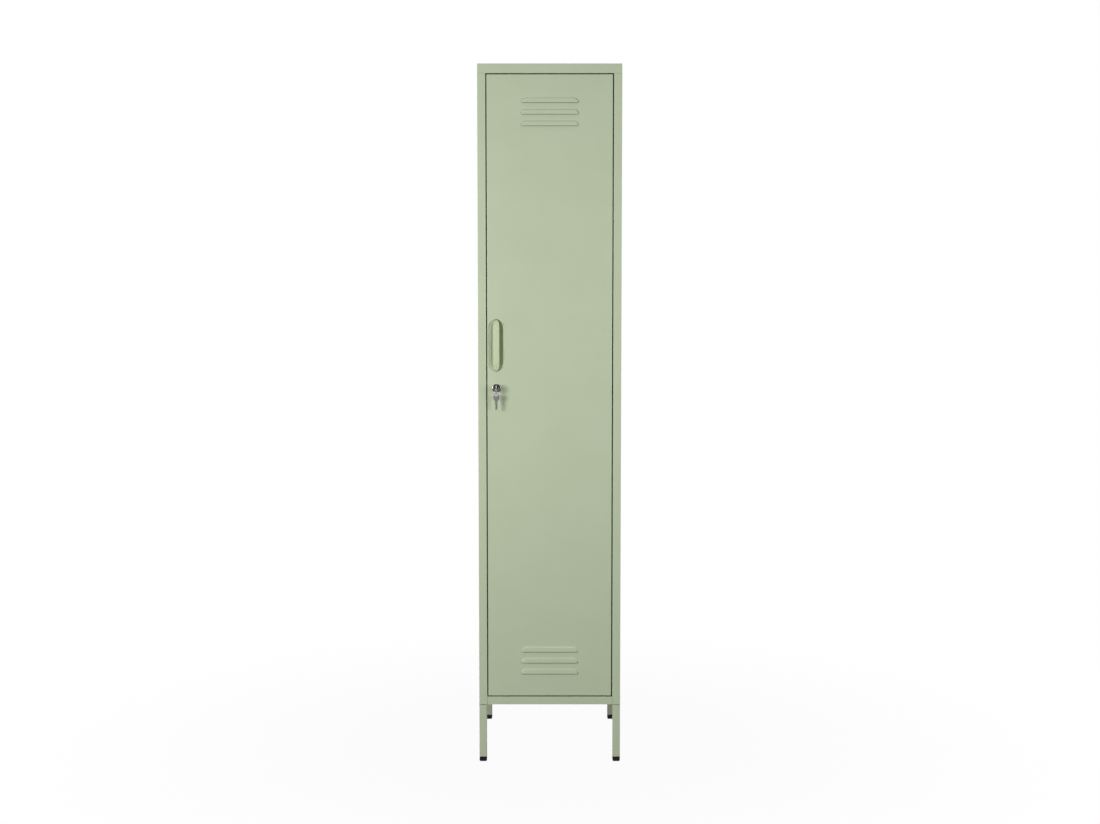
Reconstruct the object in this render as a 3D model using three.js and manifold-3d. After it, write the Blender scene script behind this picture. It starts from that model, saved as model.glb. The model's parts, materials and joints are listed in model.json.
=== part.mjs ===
// Slim single-door steel locker on four square legs: folded sheet body, pin-hinged pan door with
// pressed louvres, recessed grip, cam lock with its keys, two shelves and a clothes rail.
// Millimetres, +Z up. The front faces -Y, the left side is -X and the feet stand on Z = 0.

import * as THREE from 'three';
import { mergeVertices } from 'three/addons/utils/BufferGeometryUtils.js';
import Module from 'manifold-3d';

const wasm = await Module();
wasm.setup();

// Body
const width = 380;
const depth = 450;
const height = 1865;
const bodyBase = 157.5;
const sheet = 0.8;
const seat = 0.3;
const stileWidth = 21.5;
const jambDepth = 22;
const stopLip = 12;
const topRail = 25;
const bottomRail = 21;
const capReturn = 17;
const tabRise = 18;
const tabOverlap = 15;
const tabSetback = 40;
const backFlange = 20;
const backTabInset = 20;
const wallHoleRadius = 3;
const wallHoleSpan = 220;
const wallHoleDrop = 60;

// Legs, feet and leg bolts
const tubeSide = 20;
const tubeWall = 1.2;
const spigotRise = 65;
const footHeight = 13.5;
const footToe = 4;
const footTaper = 2.5;
const footPlug = 14;
const boltRadius = 3;
const boltHole = 3.3;
const boltHeadRadius = 5.5;
const boltHeadHeight = 3;
const boltShank = 12;
const boltInset = 11;

// Panel screws that hold the back
const screwRadius = 2;
const screwHole = 2.3;
const screwHeadRadius = 3.8;
const screwHeadHeight = 2;
const screwShank = 6;
const screwHeights = [560, 1460];

// Door
const doorSheet = 1;
const doorGap = 3;
const doorThickness = 17;
const doorLip = 12;
const louvreLength = 150;
const louvreRise = 13;
const louvreProud = 4;
const louvreLip = 1;
const louvreCrown = 3;
const louvrePitch = 30;
const louvreCount = 3;
const upperLouvreDrop = 133;
const lowerLouvreRise = 61;
const stiffenerWidth = 48;
const stiffenerDepth = 12;
const stiffenerFlange = 12;
const stiffenerMargin = 40;

// Recessed grip
const gripInset = 24.1;
const gripHeight = 1127.5;
const gripWidth = 44;
const gripLength = 143;
const gripEnd = 19;
const gripRim = 1;
const gripRimProud = 0.7;
const gripDepth = 13;
const gripWall = 1;
const barWidth = 15.5;
const barWaist = 11;
const barProud = 1.6;
const barBack = 5;

// Cam lock
const lockBelowGrip = 42;
const bezelRadius = 11.5;
const bezelProud = 4;
const bezelChamfer = 2;
const barrelRadius = 9;
const barrelLength = 20;
const plugRadius = 6.1;
const runningGap = 0.1;
const nutRadius = 13;
const nutThickness = 4;
const shankShoulder = 5;
const shankSide = 6;
const camClear = 1.2;
const camThickness = 2;
const camLength = 27;
const camWidth = 13;
const camCorner = 3;
const camScrewRadius = 1.7;
const camScrewHead = 4.5;
const camScrewHeadHeight = 2;
const camScrewLength = 8;

// Keys and ring
const bladeThickness = 2;
const bladeWidth = 6.4;
const bladeLength = 17;
const keywayGap = 0.3;
const keyNeck = 4;
const neckWidth = 8;
const neckLap = 5;
const bowLength = 22;
const bowHeight = 19;
const bowHoleRadius = 3.4;
const ringRadius = 6.5;
const ringWire = 0.6;
const ringClear = 1;
const spareBowWidth = 18;
const spareBowHeight = 21;
const spareHoleDrop = 4.8;
const spareNeck = 6.5;
const spareBlade = 17.5;
const ringTurn = Math.PI / 4;

// Pin hinge
const pivotInset = 8;
const pivotSetback = 6;
const pinRadius = 3;
const pinHole = 3.3;
const pinDrop = 12;
const pinHeadRadius = 4.5;
const pinHeadHeight = 2;
const bushRadius = 4.4;
const bushHole = 4.7;
const bushFlangeRadius = 5.6;
const bushFlange = 1.2;
const bushLength = 6;
const boltEntry = 5;
const boltCollarRadius = 4.6;
const boltCollarHeight = 2;
const bracketSheet = 1.5;
const bracketReach = 13;
const bracketWidth = 9.4;
const springLength = 30;
const springTurns = 7;
const springRadius = 4;
const springWire = 0.45;
const boltTail = 9;
const boltArmReach = 16;
const boltArmRadius = 2.2;

// Inside fittings
const uprightDepth = 10;
const uprightWidth = 16;
const uprightSheet = 1;
const uprightInset = 70;
const uprightBottom = 230;
const uprightTop = 1790;
const slotPitch = 80;
const slotFirst = 10;
const slotWidth = 10;
const slotHeight = 6;
const clipWidth = 9;
const clipSheet = 1.5;
const clipLedge = 13;
const clipHook = 7.5;
const clipLeg = 8;
const shelfFront = 32;
const shelfBack = 24;
const shelfSkirt = 18;
const upperShelfSlot = 16;
const lowerShelfSlot = 4;
const railDrop = 60;
const railRadius = 12.5;
const railWall = 1.5;
const socketRadius = 20;
const socketBase = 3;
const socketCup = 10;
const socketWall = 2.2;
const bumperRadius = 5;
const bumperStem = 2;
const bumperHole = 2.3;
const bumperTail = 3;
const bumperHeights = [480, 1560];

// Places that several pieces share. The key's bow reaches furthest forward, so the body is set
// back by half of that and the whole stands centred on the origin.
const keyReach = bezelProud + seat + keyNeck + bowLength;
const frontY = (keyReach - depth) / 2;
const backY = frontY + depth;
const halfWidth = width / 2;
const openingHalf = halfWidth - stileWidth;
const capBase = height - topRail;
const floorTop = bodyBase + bottomRail;
const doorHalf = openingHalf - doorGap;
const doorBottom = floorTop + doorGap;
const doorTop = capBase - doorGap;
const trayHalf = openingHalf - seat;
const panelTop = capBase - seat;
const wallInside = halfWidth - sheet;
const skinBack = frontY + doorSheet;
const doorBack = frontY + doorThickness;
const pivotX = doorHalf - pivotInset;
const pivotY = frontY + pivotSetback;
const gripX = -doorHalf + gripInset;
const lockHeight = gripHeight - gripLength / 2 - lockBelowGrip;
const midY = (frontY + backY) / 2;
const spigotSide = tubeSide - 2 * (sheet + seat);
const uprightFace = wallInside - seat - uprightDepth;
const shelfHeight = (slot) => uprightBottom + slotFirst + slot * slotPitch;

const finishes = {
  powderCoat: { color: 0xb4bfa2, roughness: 0.5, metalness: 0 },
  gripPlastic: { color: 0xb4bfa2, roughness: 0.45, metalness: 0 },
  chrome: { color: 0xd8dadb, roughness: 0.12, metalness: 1 },
  nickel: { color: 0xc9c6be, roughness: 0.3, metalness: 1 },
  zinc: { color: 0xb2b4b3, roughness: 0.4, metalness: 1 },
  blackPlastic: { color: 0x191919, roughness: 0.6, metalness: 0 },
  nylon: { color: 0xe4e2da, roughness: 0.5, metalness: 0 },
  rubber: { color: 0x2a2a2a, roughness: 0.85, metalness: 0 },
};

const locker = new THREE.Group();

function addPiece(name, geometry, finish) {
  const mesh = new THREE.Mesh(geometry, new THREE.MeshStandardMaterial(finishes[finish]));
  mesh.name = name;
  locker.add(mesh);
}

// Closed solids: shared corners merged, collapsed triangles dropped and faces turned outwards.
function solidOf(geometry) {
  const bare = geometry.clone();
  bare.deleteAttribute('normal');
  bare.deleteAttribute('uv');
  const merged = mergeVertices(bare, 1e-4);
  const at = merged.index.array;
  const corner = (i) => new THREE.Vector3().fromBufferAttribute(merged.attributes.position, at[i]);
  const kept = [];
  let sixVolumes = 0;
  for (let i = 0; i < at.length; i += 3) {
    if (at[i] === at[i + 1] || at[i + 1] === at[i + 2] || at[i + 2] === at[i]) continue;
    kept.push(at[i], at[i + 1], at[i + 2]);
    sixVolumes += corner(i).dot(corner(i + 1).cross(corner(i + 2)));
  }
  if (sixVolumes < 0) kept.reverse();
  return new wasm.Manifold(new wasm.Mesh({
    numProp: 3,
    vertProperties: Float32Array.from(merged.attributes.position.array),
    triVerts: Uint32Array.from(kept),
  }));
}

function geometryOf(solid) {
  const mesh = solid.getMesh();
  const geometry = new THREE.BufferGeometry();
  geometry.setAttribute('position', new THREE.BufferAttribute(mesh.vertProperties, 3));
  geometry.setIndex(new THREE.BufferAttribute(mesh.triVerts, 1));
  geometry.computeVertexNormals();
  return geometry;
}

function join(first, ...others) {
  return geometryOf(others.reduce((sum, other) => sum.add(solidOf(other)), solidOf(first)));
}

function cut(body, ...tools) {
  return geometryOf(tools.reduce((left, tool) => left.subtract(solidOf(tool)), solidOf(body)));
}

function overlapOf(one, other) {
  return geometryOf(solidOf(one).intersect(solidOf(other)));
}

function block([x0, x1], [y0, y1], [z0, z1]) {
  const box = new THREE.BoxGeometry(x1 - x0, y1 - y0, z1 - z0);
  return box.translate((x0 + x1) / 2, (y0 + y1) / 2, (z0 + z1) / 2);
}

const shapeOf = (points) => new THREE.Shape(points.map(([u, v]) => new THREE.Vector2(u, v)));

function extrudeShape(shape, length, curveSegments = 8) {
  return new THREE.ExtrudeGeometry(shape, { depth: length, bevelEnabled: false, curveSegments });
}

// Prisms on an outline in the plane square to the named axis.
function prismZ(points, [z0, z1]) {
  return join(extrudeShape(shapeOf(points), z1 - z0).translate(0, 0, z0));
}

function prismX(points, [x0, x1]) {
  const turn = new THREE.Matrix4().makeBasis(
    new THREE.Vector3(0, 1, 0), new THREE.Vector3(0, 0, 1), new THREE.Vector3(1, 0, 0));
  return join(extrudeShape(shapeOf(points), x1 - x0).applyMatrix4(turn).translate(x0, 0, 0));
}

function shapeAlongY(shape, [y0, y1], curveSegments) {
  return join(extrudeShape(shape, y1 - y0, curveSegments).rotateX(Math.PI / 2).translate(0, y1, 0));
}

// A strip of sheet folded along a path in plan, with its thickness to the right of the path.
function foldedStrip(path, gauge) {
  const points = path.map(([u, v]) => new THREE.Vector2(u, v));
  const rightOf = (a, b) => new THREE.Vector2(b.y - a.y, a.x - b.x).normalize();
  const offset = points.map((point, i) => {
    const ahead = i < points.length - 1 ? rightOf(point, points[i + 1]) : null;
    const behind = i > 0 ? rightOf(points[i - 1], point) : ahead;
    const next = ahead ?? behind;
    return point.clone().addScaledVector(behind.clone().add(next), gauge / (1 + behind.dot(next)));
  });
  return [...points, ...offset.reverse()].map(({ x, y }) => [x, y]);
}

// Cutting tools, and pieces that lap inside a joined solid, run past its faces by this much.
const past = 1;

const mirrored = (points) => points.map(([x, y]) => [-x, y]);

// Turned pieces: a profile of [radius, height] spun about an axis through the given point.
function turnedZ(profile, [x, y], facets = 20) {
  const points = profile.map(([r, h]) => new THREE.Vector2(r, h));
  return join(new THREE.LatheGeometry(points, facets).rotateX(Math.PI / 2).translate(x, y, 0));
}

function turnedY(profile, [x, z], facets = 20) {
  const points = profile.map(([r, h]) => new THREE.Vector2(r, h));
  return join(new THREE.LatheGeometry(points, facets).translate(x, 0, z));
}

function turnedX(profile, [y, z], facets = 20) {
  const points = profile.map(([r, h]) => new THREE.Vector2(r, h));
  return join(new THREE.LatheGeometry(points, facets).rotateZ(-Math.PI / 2).translate(0, y, z));
}

const rod = (radius, [from, to]) => [[0, from], [radius, from], [radius, to], [0, to]];

// The sides face left and right, and the four corners of the plan repeat the legs and their bolts.
const sides = [{ word: 'left', hand: -1 }, { word: 'right', hand: 1 }];
const ends = [{ word: 'front', edgeY: frontY, inward: 1 }, { word: 'rear', edgeY: backY, inward: -1 }];
const corners = ends.flatMap((end) => sides.map((side) => ({ end, side })));
const span = (a, b) => [Math.min(a, b), Math.max(a, b)];
const boltCentre = ({ end }) => [end.edgeY + end.inward * boltInset, floorTop - bottomRail / 2];

// Body panels

function sidePanel(hand) {
  const stop = frontY + jambDepth;
  const plan = foldedStrip([
    [-openingHalf + stopLip, stop], [-openingHalf, stop], [-openingHalf, frontY],
    [-halfWidth, frontY], [-halfWidth, backY], [-openingHalf, backY], [-openingHalf, backY - jambDepth],
  ], sheet);
  const folded = prismZ(hand < 0 ? plan : mirrored(plan), [bodyBase, panelTop]);
  const tabOut = wallInside - seat;
  const tabIn = tabOut - sheet;
  const tabRun = [frontY + tabSetback, backY - tabSetback];
  const tabFoot = block(span(hand * (wallInside + sheet / 2), hand * tabIn), tabRun,
    [panelTop - tabOverlap, panelTop]);
  const tab = block(span(hand * tabOut, hand * tabIn), tabRun, [panelTop - tabOverlap, capBase + tabRise]);
  const lipNotch = block(span(hand * (openingHalf - stopLip - past), hand * openingHalf),
    [stop - past, stop + sheet + past], [bodyBase - past, floorTop + seat]);
  const across = span(hand * (openingHalf - past), hand * (openingHalf + sheet + past));
  const boltHoles = ends.map((end) => turnedX(rod(boltHole, across), boltCentre({ end }), 16));
  const screwHoles = screwHeights.map((z) => turnedX(rod(screwHole, across), [backY - boltInset, z], 12));
  const bumperHoles = hand > 0 ? [] : bumperHeights.map((z) =>
    turnedY(rod(bumperHole, [stop - past, stop + sheet + past]), [-openingHalf + stopLip / 2, z], 12));
  return cut(join(folded, tabFoot, tab), lipNotch, ...boltHoles, ...screwHoles, ...bumperHoles);
}

function topPanel() {
  const outer = block([-halfWidth, halfWidth], [frontY, backY], [capBase, height]);
  const inner = block([-wallInside, wallInside], [frontY + sheet, backY - sheet],
    [capBase - past, height - sheet]);
  const ledge = block([-wallInside - sheet / 2, wallInside + sheet / 2],
    [frontY + sheet / 2, frontY + capReturn], [capBase, capBase + sheet]);
  const bushSeat = turnedZ(rod(bushHole, [capBase - past, capBase + sheet + past]), [pivotX, pivotY]);
  return cut(join(cut(outer, inner), ledge), bushSeat);
}

function basePanel() {
  const wide = wallInside - seat;
  const wideRun = [frontY + jambDepth + sheet + seat, backY - jambDepth - seat];
  const innerRun = [wideRun[0] + sheet, wideRun[1] - sheet];
  const under = [bodyBase - past, floorTop - sheet];
  const outer = join(block([-trayHalf, trayHalf], [frontY, backY], [bodyBase, floorTop]),
    block([-wide, wide], wideRun, [bodyBase, floorTop]));
  const inner = block([sheet - trayHalf, trayHalf - sheet], [frontY + sheet, backY - sheet], under);
  const innerWide = block([sheet - wide, wide - sheet], innerRun, under);
  const bushSeat = turnedZ(rod(bushHole, [floorTop - sheet - past, floorTop + past]), [pivotX, pivotY]);
  const boltHoles = corners.map((corner) => {
    const { hand } = corner.side;
    return turnedX(rod(boltHole, span(hand * (trayHalf - sheet - past), hand * (trayHalf + past))),
      boltCentre(corner), 16);
  });
  return cut(outer, inner, innerWide, bushSeat, ...boltHoles);
}

function backPanel() {
  const plan = foldedStrip([
    [-trayHalf, backY - backFlange], [-trayHalf, backY], [trayHalf, backY], [trayHalf, backY - backFlange],
  ], sheet);
  const folded = prismZ(plan, [floorTop + seat, panelTop]);
  const tabHalf = trayHalf - backTabInset;
  const tabOut = backY - sheet - seat;
  const tabFoot = block([-tabHalf, tabHalf], [tabOut - sheet, backY - sheet / 2],
    [panelTop - tabOverlap, panelTop]);
  const tab = block([-tabHalf, tabHalf], [tabOut - sheet, tabOut],
    [panelTop - tabOverlap, capBase + tabRise]);
  const wallHoles = sides.map(({ hand }) => turnedY(rod(wallHoleRadius, [backY - sheet - past, backY + past]),
    [hand * wallHoleSpan / 2, capBase - wallHoleDrop], 16));
  const screwHoles = sides.flatMap(({ hand }) => screwHeights.map((z) =>
    turnedX(rod(screwHole, span(hand * (trayHalf - sheet - past), hand * (trayHalf + past))),
      [backY - boltInset, z], 12)));
  return cut(join(folded, tabFoot, tab), ...wallHoles, ...screwHoles);
}

// Legs: a square tube whose narrower spigot stands up inside the folded corner of the side panel.

function squareTube([x, y], side, wall, [z0, z1]) {
  const half = side / 2;
  const bore = half - wall;
  return cut(block([x - half, x + half], [y - half, y + half], [z0, z1]),
    block([x - bore, x + bore], [y - bore, y + bore], [z0 - past, z1 + past]));
}

const legCentre = ({ end, side }) =>
  [side.hand * (halfWidth - tubeSide / 2), end.edgeY + end.inward * tubeSide / 2];

function leg(corner) {
  const centre = legCentre(corner);
  const top = bodyBase - seat;
  const tube = squareTube(centre, tubeSide, tubeWall, [footHeight, top]);
  const shoulderWidth = (tubeSide - spigotSide) / 2 + tubeWall;
  const shoulder = squareTube(centre, tubeSide, shoulderWidth, [top - tubeWall, top]);
  const spigot = squareTube(centre, spigotSide, tubeWall, [top - tubeWall, bodyBase + spigotRise]);
  const face = Math.abs(centre[0]) - spigotSide / 2;
  const boltBore = turnedX(rod(boltHole, span(corner.side.hand * (face - past),
    corner.side.hand * (face + tubeWall + past))), boltCentre(corner), 16);
  return cut(join(tube, shoulder, spigot), boltBore);
}

function foot(corner) {
  const [x, y] = legCentre(corner);
  const half = tubeSide / 2;
  const diagonal = Math.SQRT2;
  const toe = new THREE.CylinderGeometry(half * diagonal, (half - footTaper) * diagonal, footToe, 4)
    .rotateY(Math.PI / 4).rotateX(Math.PI / 2).translate(x, y, footToe / 2);
  const cap = block([x - half, x + half], [y - half, y + half], [footToe / 2, footHeight - seat]);
  const upper = cut(cap, block([x - tubeSide, x + tubeSide], [y - tubeSide, y + tubeSide], [-past, footToe]));
  const plugHalf = half - tubeWall - seat;
  const plug = block([x - plugHalf, x + plugHalf], [y - plugHalf, y + plugHalf],
    [footHeight - past, footHeight + footPlug]);
  return join(toe, upper, plug);
}

function headedScrew(hand, head, [radius, headRadius, headHeight, shank], centre, facets) {
  const profile = [[0, head - headHeight], [headRadius, head - headHeight], [headRadius, head],
    [radius, head], [radius, head + shank], [0, head + shank]];
  return turnedX(profile.map(([r, x]) => [r, hand * x]), centre, facets);
}

// Door

function gripOutline(inset) {
  const half = gripWidth / 2 - inset;
  const endRise = gripEnd - inset;
  const straight = gripLength / 2 - gripEnd;
  const shape = new THREE.Shape();
  shape.moveTo(gripX + half, gripHeight - straight);
  shape.lineTo(gripX + half, gripHeight + straight);
  shape.absellipse(gripX, gripHeight + straight, half, endRise, 0, Math.PI);
  shape.lineTo(gripX - half, gripHeight - straight);
  shape.absellipse(gripX, gripHeight - straight, half, endRise, Math.PI, 2 * Math.PI);
  return shape;
}

const gripArc = 9;
const louvreSills = [doorTop - upperLouvreDrop, doorBottom + lowerLouvreRise].flatMap((sill) =>
  Array.from({ length: louvreCount }, (_, i) => sill + i * louvrePitch));

function louvreHood(sill) {
  return prismX([[frontY + doorSheet / 2, sill], [frontY - louvreProud, sill],
    [frontY - louvreProud, sill + louvreLip], [frontY, sill + louvreRise],
    [frontY + doorSheet / 2, sill + louvreRise]], [-louvreLength / 2, louvreLength / 2]);
}

function louvreThroat(sill) {
  const half = louvreLength / 2 - doorSheet;
  return prismX([[skinBack + past, sill], [frontY, sill], [frontY, sill - runningGap],
    [doorSheet + frontY - louvreProud, sill - runningGap], [doorSheet + frontY - louvreProud, sill],
    [frontY, sill + louvreRise - louvreCrown], [skinBack + past, sill + louvreRise - louvreCrown]],
  [-half, half]);
}

function doorPanel() {
  const edge = doorHalf - doorSheet;
  const outer = block([-doorHalf, doorHalf], [frontY, doorBack], [doorBottom, doorTop]);
  const inner = block([-edge, edge], [skinBack, doorBack - doorSheet],
    [doorBottom + doorSheet, doorTop - doorSheet]);
  const mouth = block([doorLip - doorHalf, doorHalf - doorLip], [doorBack - 2 * doorSheet, doorBack + past],
    [doorBottom + doorLip, doorTop - doorLip]);
  const pan = join(cut(outer, inner, mouth), ...louvreSills.map(louvreHood));
  const gripHole = shapeAlongY(gripOutline(gripRim), [frontY - past, skinBack + past], gripArc);
  const lockHole = turnedY(rod(barrelRadius + seat, [frontY - past, skinBack + past]), [gripX, lockHeight]);
  const pinHoles = [doorBottom, doorTop - doorSheet].map((z) =>
    turnedZ(rod(pinHole, [z - past, z + doorSheet + past]), [pivotX, pivotY]));
  return cut(pan, ...louvreSills.map(louvreThroat), gripHole, lockHole, ...pinHoles);
}

function doorStiffener() {
  const half = stiffenerWidth / 2;
  const near = skinBack + seat;
  const far = near + stiffenerDepth;
  const plan = foldedStrip([[half + stiffenerFlange, near], [half, near], [half, far],
    [-half, far], [-half, near], [-half - stiffenerFlange, near]], sheet);
  const lowTop = doorBottom + lowerLouvreRise + (louvreCount - 1) * louvrePitch + louvreRise;
  return prismZ(plan, [lowTop + stiffenerMargin, doorTop - upperLouvreDrop - stiffenerMargin]);
}

function gripCup() {
  const rimBack = frontY - seat;
  const rim = shapeAlongY(gripOutline(0), [rimBack - gripRimProud, rimBack], gripArc);
  const body = shapeAlongY(gripOutline(gripRim + seat),
    [rimBack - gripRimProud, frontY + gripDepth + gripWall], gripArc);
  const hollow = shapeAlongY(gripOutline(gripRim + seat + gripWall),
    [rimBack - gripRimProud - past, frontY + gripDepth], gripArc);
  const bar = prismZ([[gripX - barWidth / 2, frontY - barProud], [gripX + barWidth / 2, frontY - barProud],
    [gripX + barWidth / 2, frontY], [gripX + barWaist / 2, frontY + barBack],
    [gripX - barWaist / 2, frontY + barBack], [gripX - barWidth / 2, frontY]],
  [gripHeight - gripLength / 2, gripHeight + gripLength / 2]);
  const envelope = shapeAlongY(gripOutline(gripRim + seat + gripWall / 2),
    [frontY - barProud - past, frontY + gripDepth], gripArc);
  return join(cut(join(rim, body), hollow), overlapOf(bar, envelope));
}

// Lock: the body is held by its nut, and the plug carries the cam on a square shank.

const lockAt = [gripX, lockHeight];
const bezelFront = frontY - bezelProud;
const barrelEnd = frontY + barrelLength;
const camFront = frontY + jambDepth + sheet + camClear;
const camBack = camFront + camThickness;
const boreRadius = plugRadius + runningGap;
const lockFacets = 28;

function lockBody() {
  return turnedY([[boreRadius, bezelFront], [bezelRadius - bezelChamfer, bezelFront],
    [bezelRadius, bezelFront + bezelChamfer], [bezelRadius, frontY - seat], [barrelRadius, frontY - seat],
    [barrelRadius, barrelEnd], [boreRadius, barrelEnd], [boreRadius, bezelFront]], lockAt, lockFacets);
}

function lockNut() {
  const y0 = skinBack + seat;
  const bore = barrelRadius + seat;
  const y1 = y0 + nutThickness;
  const hexagon = turnedY(rod(nutRadius, [y0, y1]), lockAt, 6);
  return cut(hexagon, turnedY(rod(bore, [y0 - past, y1 + past]), lockAt, lockFacets));
}

function lockPlug() {
  const [x, z] = lockAt;
  const shoulder = barrelEnd + seat;
  const shankRoot = camFront - seat;
  const round = turnedY([[0, bezelFront], [plugRadius, bezelFront], [plugRadius, shoulder],
    [shankShoulder, shoulder], [shankShoulder, shankRoot], [0, shankRoot]], lockAt, lockFacets);
  const half = shankSide / 2;
  const shank = block([x - half, x + half], [camFront - past, camBack - seat], [z - half, z + half]);
  const slotX = bladeThickness / 2 + keywayGap;
  const slotZ = bladeWidth / 2 + keywayGap;
  const keyway = block([x - slotX, x + slotX], [bezelFront - past, bezelFront + bladeLength + keywayGap],
    [z - slotZ, z + slotZ]);
  const screwRun = [camBack - camScrewLength - seat, camBack + past];
  const screwBore = turnedY(rod(camScrewRadius + seat, screwRun), lockAt, 16);
  return cut(join(round, shank), keyway, screwBore);
}

function lockCam() {
  const [x, z] = lockAt;
  const half = camWidth / 2;
  const outline = new THREE.Shape();
  outline.moveTo(x - half, z);
  outline.lineTo(x - half, z - camLength + camCorner);
  outline.lineTo(x - half + camCorner, z - camLength);
  outline.lineTo(x + half - camCorner, z - camLength);
  outline.lineTo(x + half, z - camLength + camCorner);
  outline.lineTo(x + half, z);
  outline.absarc(x, z, half, 0, Math.PI);
  const hole = shankSide / 2 + seat;
  return cut(shapeAlongY(outline, [camFront, camBack]),
    block([x - hole, x + hole], [camFront - past, camBack + past], [z - hole, z + hole]));
}

function camScrew() {
  const tip = camBack - camScrewLength;
  const y0 = camBack + seat;
  const y1 = y0 + camScrewHeadHeight;
  return turnedY([[0, tip], [camScrewRadius, tip], [camScrewRadius, y0],
    [camScrewHead, y0], [camScrewHead, y1], [0, y1]], lockAt, 16);
}

// Keys: the one in the lock stands edge on to the front, and the spare hangs flat on the ring.

const bowBack = bezelFront - seat - keyNeck;
const bowHoleY = bowBack - bowLength / 2;
const ringTop = lockHeight - bowHoleRadius + ringWire + ringClear;
const ringCentre = ringTop - ringRadius;
const ringBottom = ringCentre - ringRadius;
const spareHoleZ = ringBottom + ringWire + ringClear - bowHoleRadius;

function key() {
  const [x, z] = lockAt;
  const slab = [x - bladeThickness / 2, x + bladeThickness / 2];
  const bow = new THREE.CylinderGeometry(1, 1, bladeThickness, 28).rotateZ(Math.PI / 2)
    .scale(1, bowLength / 2, bowHeight / 2).translate(x, bowHoleY, z);
  const neck = block(slab, [bowBack - neckLap, bezelFront - seat],
    [z - neckWidth / 2, z + neckWidth / 2]);
  const blade = block(slab, [bezelFront - seat - past, bezelFront + bladeLength - seat],
    [z - bladeWidth / 2, z + bladeWidth / 2]);
  const hole = turnedX(rod(bowHoleRadius, [slab[0] - past, slab[1] + past]), [bowHoleY, z], 16);
  return cut(join(bow, neck, blade), hole);
}

function keyRing() {
  const ring = new THREE.TorusGeometry(ringRadius, ringWire, 6, 24);
  return join(ring.rotateX(Math.PI / 2).rotateZ(ringTurn).translate(gripX, bowHoleY, ringCentre));
}

function spareKey() {
  const top = spareHoleZ + spareHoleDrop;
  const slab = [bowHoleY - bladeThickness / 2, bowHoleY + bladeThickness / 2];
  const bow = new THREE.CylinderGeometry(1, 1, bladeThickness, 28)
    .scale(spareBowWidth / 2, 1, spareBowHeight / 2).translate(gripX, bowHoleY, top - spareBowHeight / 2);
  const neckEnd = top - spareBowHeight - spareNeck;
  const neck = block([gripX - neckWidth / 2, gripX + neckWidth / 2], slab,
    [neckEnd, top - spareBowHeight + neckLap]);
  const blade = block([gripX - bladeWidth / 2, gripX + bladeWidth / 2], slab,
    [neckEnd - spareBlade, neckEnd + past]);
  const hole = turnedY(rod(bowHoleRadius, [slab[0] - past, slab[1] + past]), [gripX, spareHoleZ], 16);
  return cut(join(bow, neck, blade), hole);
}

// Hinge: a fixed pin below, and above it a spring bolt that is pulled down to lift the door out.

const pivot = [pivotX, pivotY];
const lowerBushTop = floorTop + seat + bushFlange;
const upperBushBase = panelTop - bushFlange;
const bracketTop = doorTop - doorSheet - seat;
const collarTop = bracketTop - bracketSheet - seat;
const springTop = collarTop - boltCollarHeight - seat;
const springBase = springTop - springLength;
const bracketBase = springBase - seat - bracketSheet;

function bush(flangeOuter, flangeInner, tip) {
  const bore = pinRadius + runningGap;
  return turnedZ([[bore, flangeOuter], [bushFlangeRadius, flangeOuter], [bushFlangeRadius, flangeInner],
    [bushRadius, flangeInner], [bushRadius, tip], [bore, tip], [bore, flangeOuter]], pivot);
}

function hingePin() {
  const headBase = doorBottom + doorSheet + seat;
  return turnedZ([[0, floorTop - pinDrop], [pinRadius, floorTop - pinDrop], [pinRadius, lowerBushTop + seat],
    [pinHeadRadius, lowerBushTop + seat], [pinHeadRadius, doorBottom - seat], [pinRadius, doorBottom - seat],
    [pinRadius, headBase], [pinHeadRadius, headBase], [pinHeadRadius, headBase + pinHeadHeight],
    [0, headBase + pinHeadHeight]], pivot);
}

function hingeBolt() {
  const tailEnd = bracketBase - boltTail;
  const stem = turnedZ([[0, tailEnd], [pinRadius, tailEnd], [pinRadius, collarTop - boltCollarHeight],
    [boltCollarRadius, collarTop - boltCollarHeight], [boltCollarRadius, collarTop], [pinRadius, collarTop],
    [pinRadius, capBase + boltEntry], [0, capBase + boltEntry]], pivot);
  const arm = turnedX(rod(boltArmRadius, [pivotX - boltArmReach, pivotX]),
    [pivotY, tailEnd + boltArmRadius], 12);
  return join(stem, arm);
}

function hingeBracket() {
  const wall = doorHalf - doorSheet - seat;
  const reach = [wall - bracketReach, wall];
  const run = [pivotY - bracketWidth / 2, pivotY + bracketWidth / 2];
  const back = block([wall - bracketSheet, wall], run, [bracketBase, bracketTop]);
  const lowerEar = block(reach, run, [bracketBase, bracketBase + bracketSheet]);
  const upperEar = block(reach, run, [bracketTop - bracketSheet, bracketTop]);
  const bore = turnedZ(rod(pinHole, [bracketBase - past, bracketTop + past]), pivot);
  return cut(join(back, lowerEar, upperEar), bore);
}

class Coil extends THREE.Curve {
  getPoint(t, target = new THREE.Vector3()) {
    const angle = t * springTurns * 2 * Math.PI;
    const climb = springLength - 2 * springWire;
    return target.set(pivotX + springRadius * Math.cos(angle), pivotY + springRadius * Math.sin(angle),
      springBase + springWire + t * climb);
  }
}

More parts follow.
